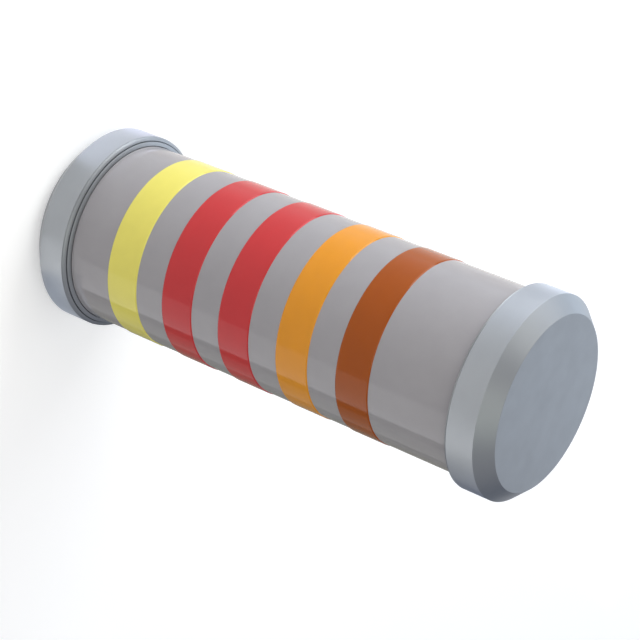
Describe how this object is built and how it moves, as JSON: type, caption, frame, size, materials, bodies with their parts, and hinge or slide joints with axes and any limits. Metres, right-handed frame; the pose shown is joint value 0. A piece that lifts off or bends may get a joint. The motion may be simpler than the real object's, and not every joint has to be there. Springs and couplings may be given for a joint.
{
  "type": "leadless cylindrical resistor",
  "caption": "Lacquered ceramic cylinder with a chamfered metal cap on each end and printed colour bands round it. It limits current in a circuit and is soldered down by its caps.",
  "frame": {"origin": "centre of the lower cap's flat end, on the surface that it stands on", "axes": "+Z along the resistor's axis, from the end with the yellow band to the end with the brown band"},
  "size_m": [0.0022, 0.0022, 0.0059],
  "materials": {
    "ceramic": "matt",
    "metal_film": "satin",
    "plated_cap": "satin",
    "grey_lacquer": "gloss",
    "yellow_print": "gloss",
    "red_print": "gloss",
    "orange_print": "gloss",
    "brown_print": "gloss"
  },
  "bodies": {
    "root": {"ceramic_rod": "ceramic", "resistive_film": "metal_film", "end_cap_bottom": "plated_cap", "end_cap_top": "plated_cap", "lacquer_coating": "grey_lacquer", "band_yellow": "yellow_print", "band_red_first": "red_print", "band_red_second": "red_print", "band_orange": "orange_print", "band_brown": "brown_print"}
  },
  "joints": []
}
